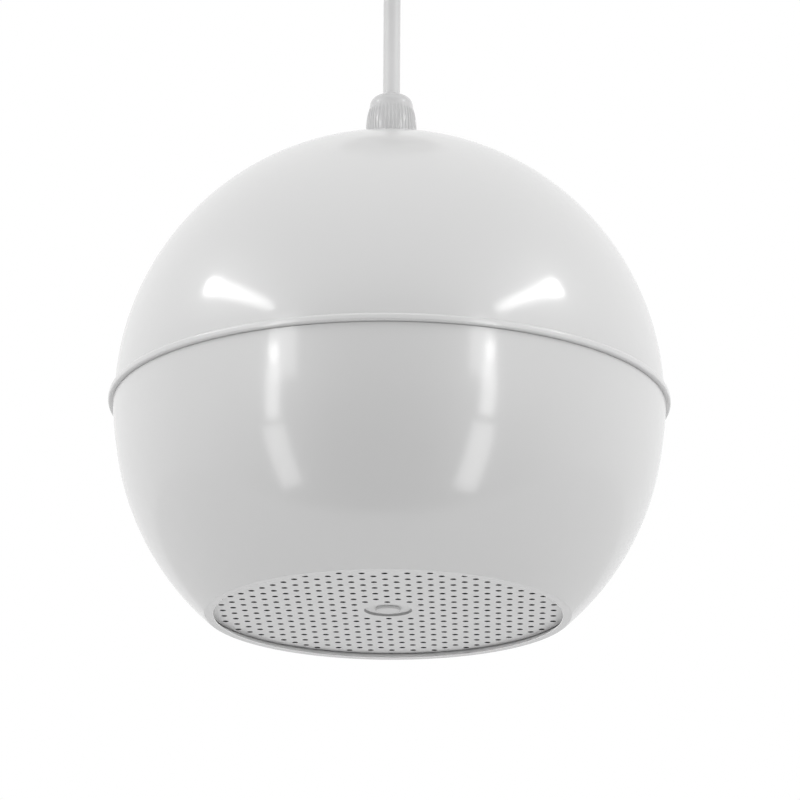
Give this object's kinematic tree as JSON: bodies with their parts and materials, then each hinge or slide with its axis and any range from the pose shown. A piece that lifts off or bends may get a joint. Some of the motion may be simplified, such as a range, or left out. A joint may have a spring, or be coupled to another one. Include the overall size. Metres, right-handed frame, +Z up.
{
  "type": "pendant speaker",
  "caption": "Ball loudspeaker in two plastic halves, with a perforated grille in its bottom opening, hung on its cable from a ceiling cup through a ribbed cable gland.",
  "frame": {"origin": "middle of the ceiling bracket's top face, which lies against the ceiling", "axes": "+Z up along the cable, -Y towards the viewer of the picture, +X to the viewer's right"},
  "size_m": [0.21, 0.21, 0.2876],
  "materials": {
    "shell": "satin light grey",
    "grille": "fine powder coat, light grey",
    "badge": "satin pale grey",
    "gland": "moulded light grey nylon",
    "cable_jacket": "soft grey cable jacket",
    "rubber": "black rubber",
    "foam": "black open foam",
    "cone_paper": "black pressed paper",
    "spider_cloth": "resin-treated cloth",
    "zinc_steel": "zinc plated",
    "black_steel": "black paint",
    "ferrite": "ground ferrite",
    "coil": "enamelled copper wire on its former",
    "laminations": "stacked sheet steel",
    "tape": "polyester tape",
    "board": "phenolic board",
    "white_plastic": "moulded nylon",
    "red_wire": "wire insulation",
    "black_wire": "wire insulation",
    "brown_wire": "wire insulation",
    "blue_wire": "wire insulation"
  },
  "bodies": {
    "housing": {"upper_dome": "shell", "lower_bowl": "shell", "grille": "grille", "badge_button": "badge", "grille_gasket": "foam", "basket": "black_steel", "surround": "rubber", "spider": "spider_cloth", "top_plate": "zinc_steel", "magnet": "ferrite", "back_plate": "zinc_steel", "driver_screw_1": "zinc_steel", "driver_screw_2": "zinc_steel", "driver_screw_3": "zinc_steel", "driver_screw_4": "zinc_steel", "terminal_strip": "board", "transformer_core": "laminations", "transformer_winding": "tape", "transformer_frame": "zinc_steel", "transformer_screw_1": "zinc_steel", "transformer_screw_2": "zinc_steel", "terminal_block": "white_plastic", "block_screw": "zinc_steel", "cable_tail": "cable_jacket", "supply_core_brown": "brown_wire", "supply_core_blue": "blue_wire", "speaker_lead_red": "red_wire", "speaker_lead_black": "black_wire", "gland_washer": "rubber", "gland_body": "gland", "gland_seal": "rubber", "gland_nut": "gland", "gland_lock_nut": "gland", "cable": "cable_jacket", "ceiling_bracket": "zinc_steel", "ceiling_cup": "shell", "cup_screw_1": "zinc_steel", "cup_screw_2": "zinc_steel", "cord_grip": "gland", "grip_screw": "zinc_steel", "grip_nut": "gland", "ceiling_connector": "white_plastic"},
    "cone_assembly": {"cone": "cone_paper", "voice_coil": "coil", "dust_cap": "cone_paper"}
  },
  "joints": [
    {"name": "cone_travel", "type": "slide", "parent": "housing", "child": "cone_assembly", "axis": [0, 0, 1], "range_m": [-0.003, 0.003], "stiffness_N_per_m": 1100, "deforming": ["surround", "spider"]}
  ]
}
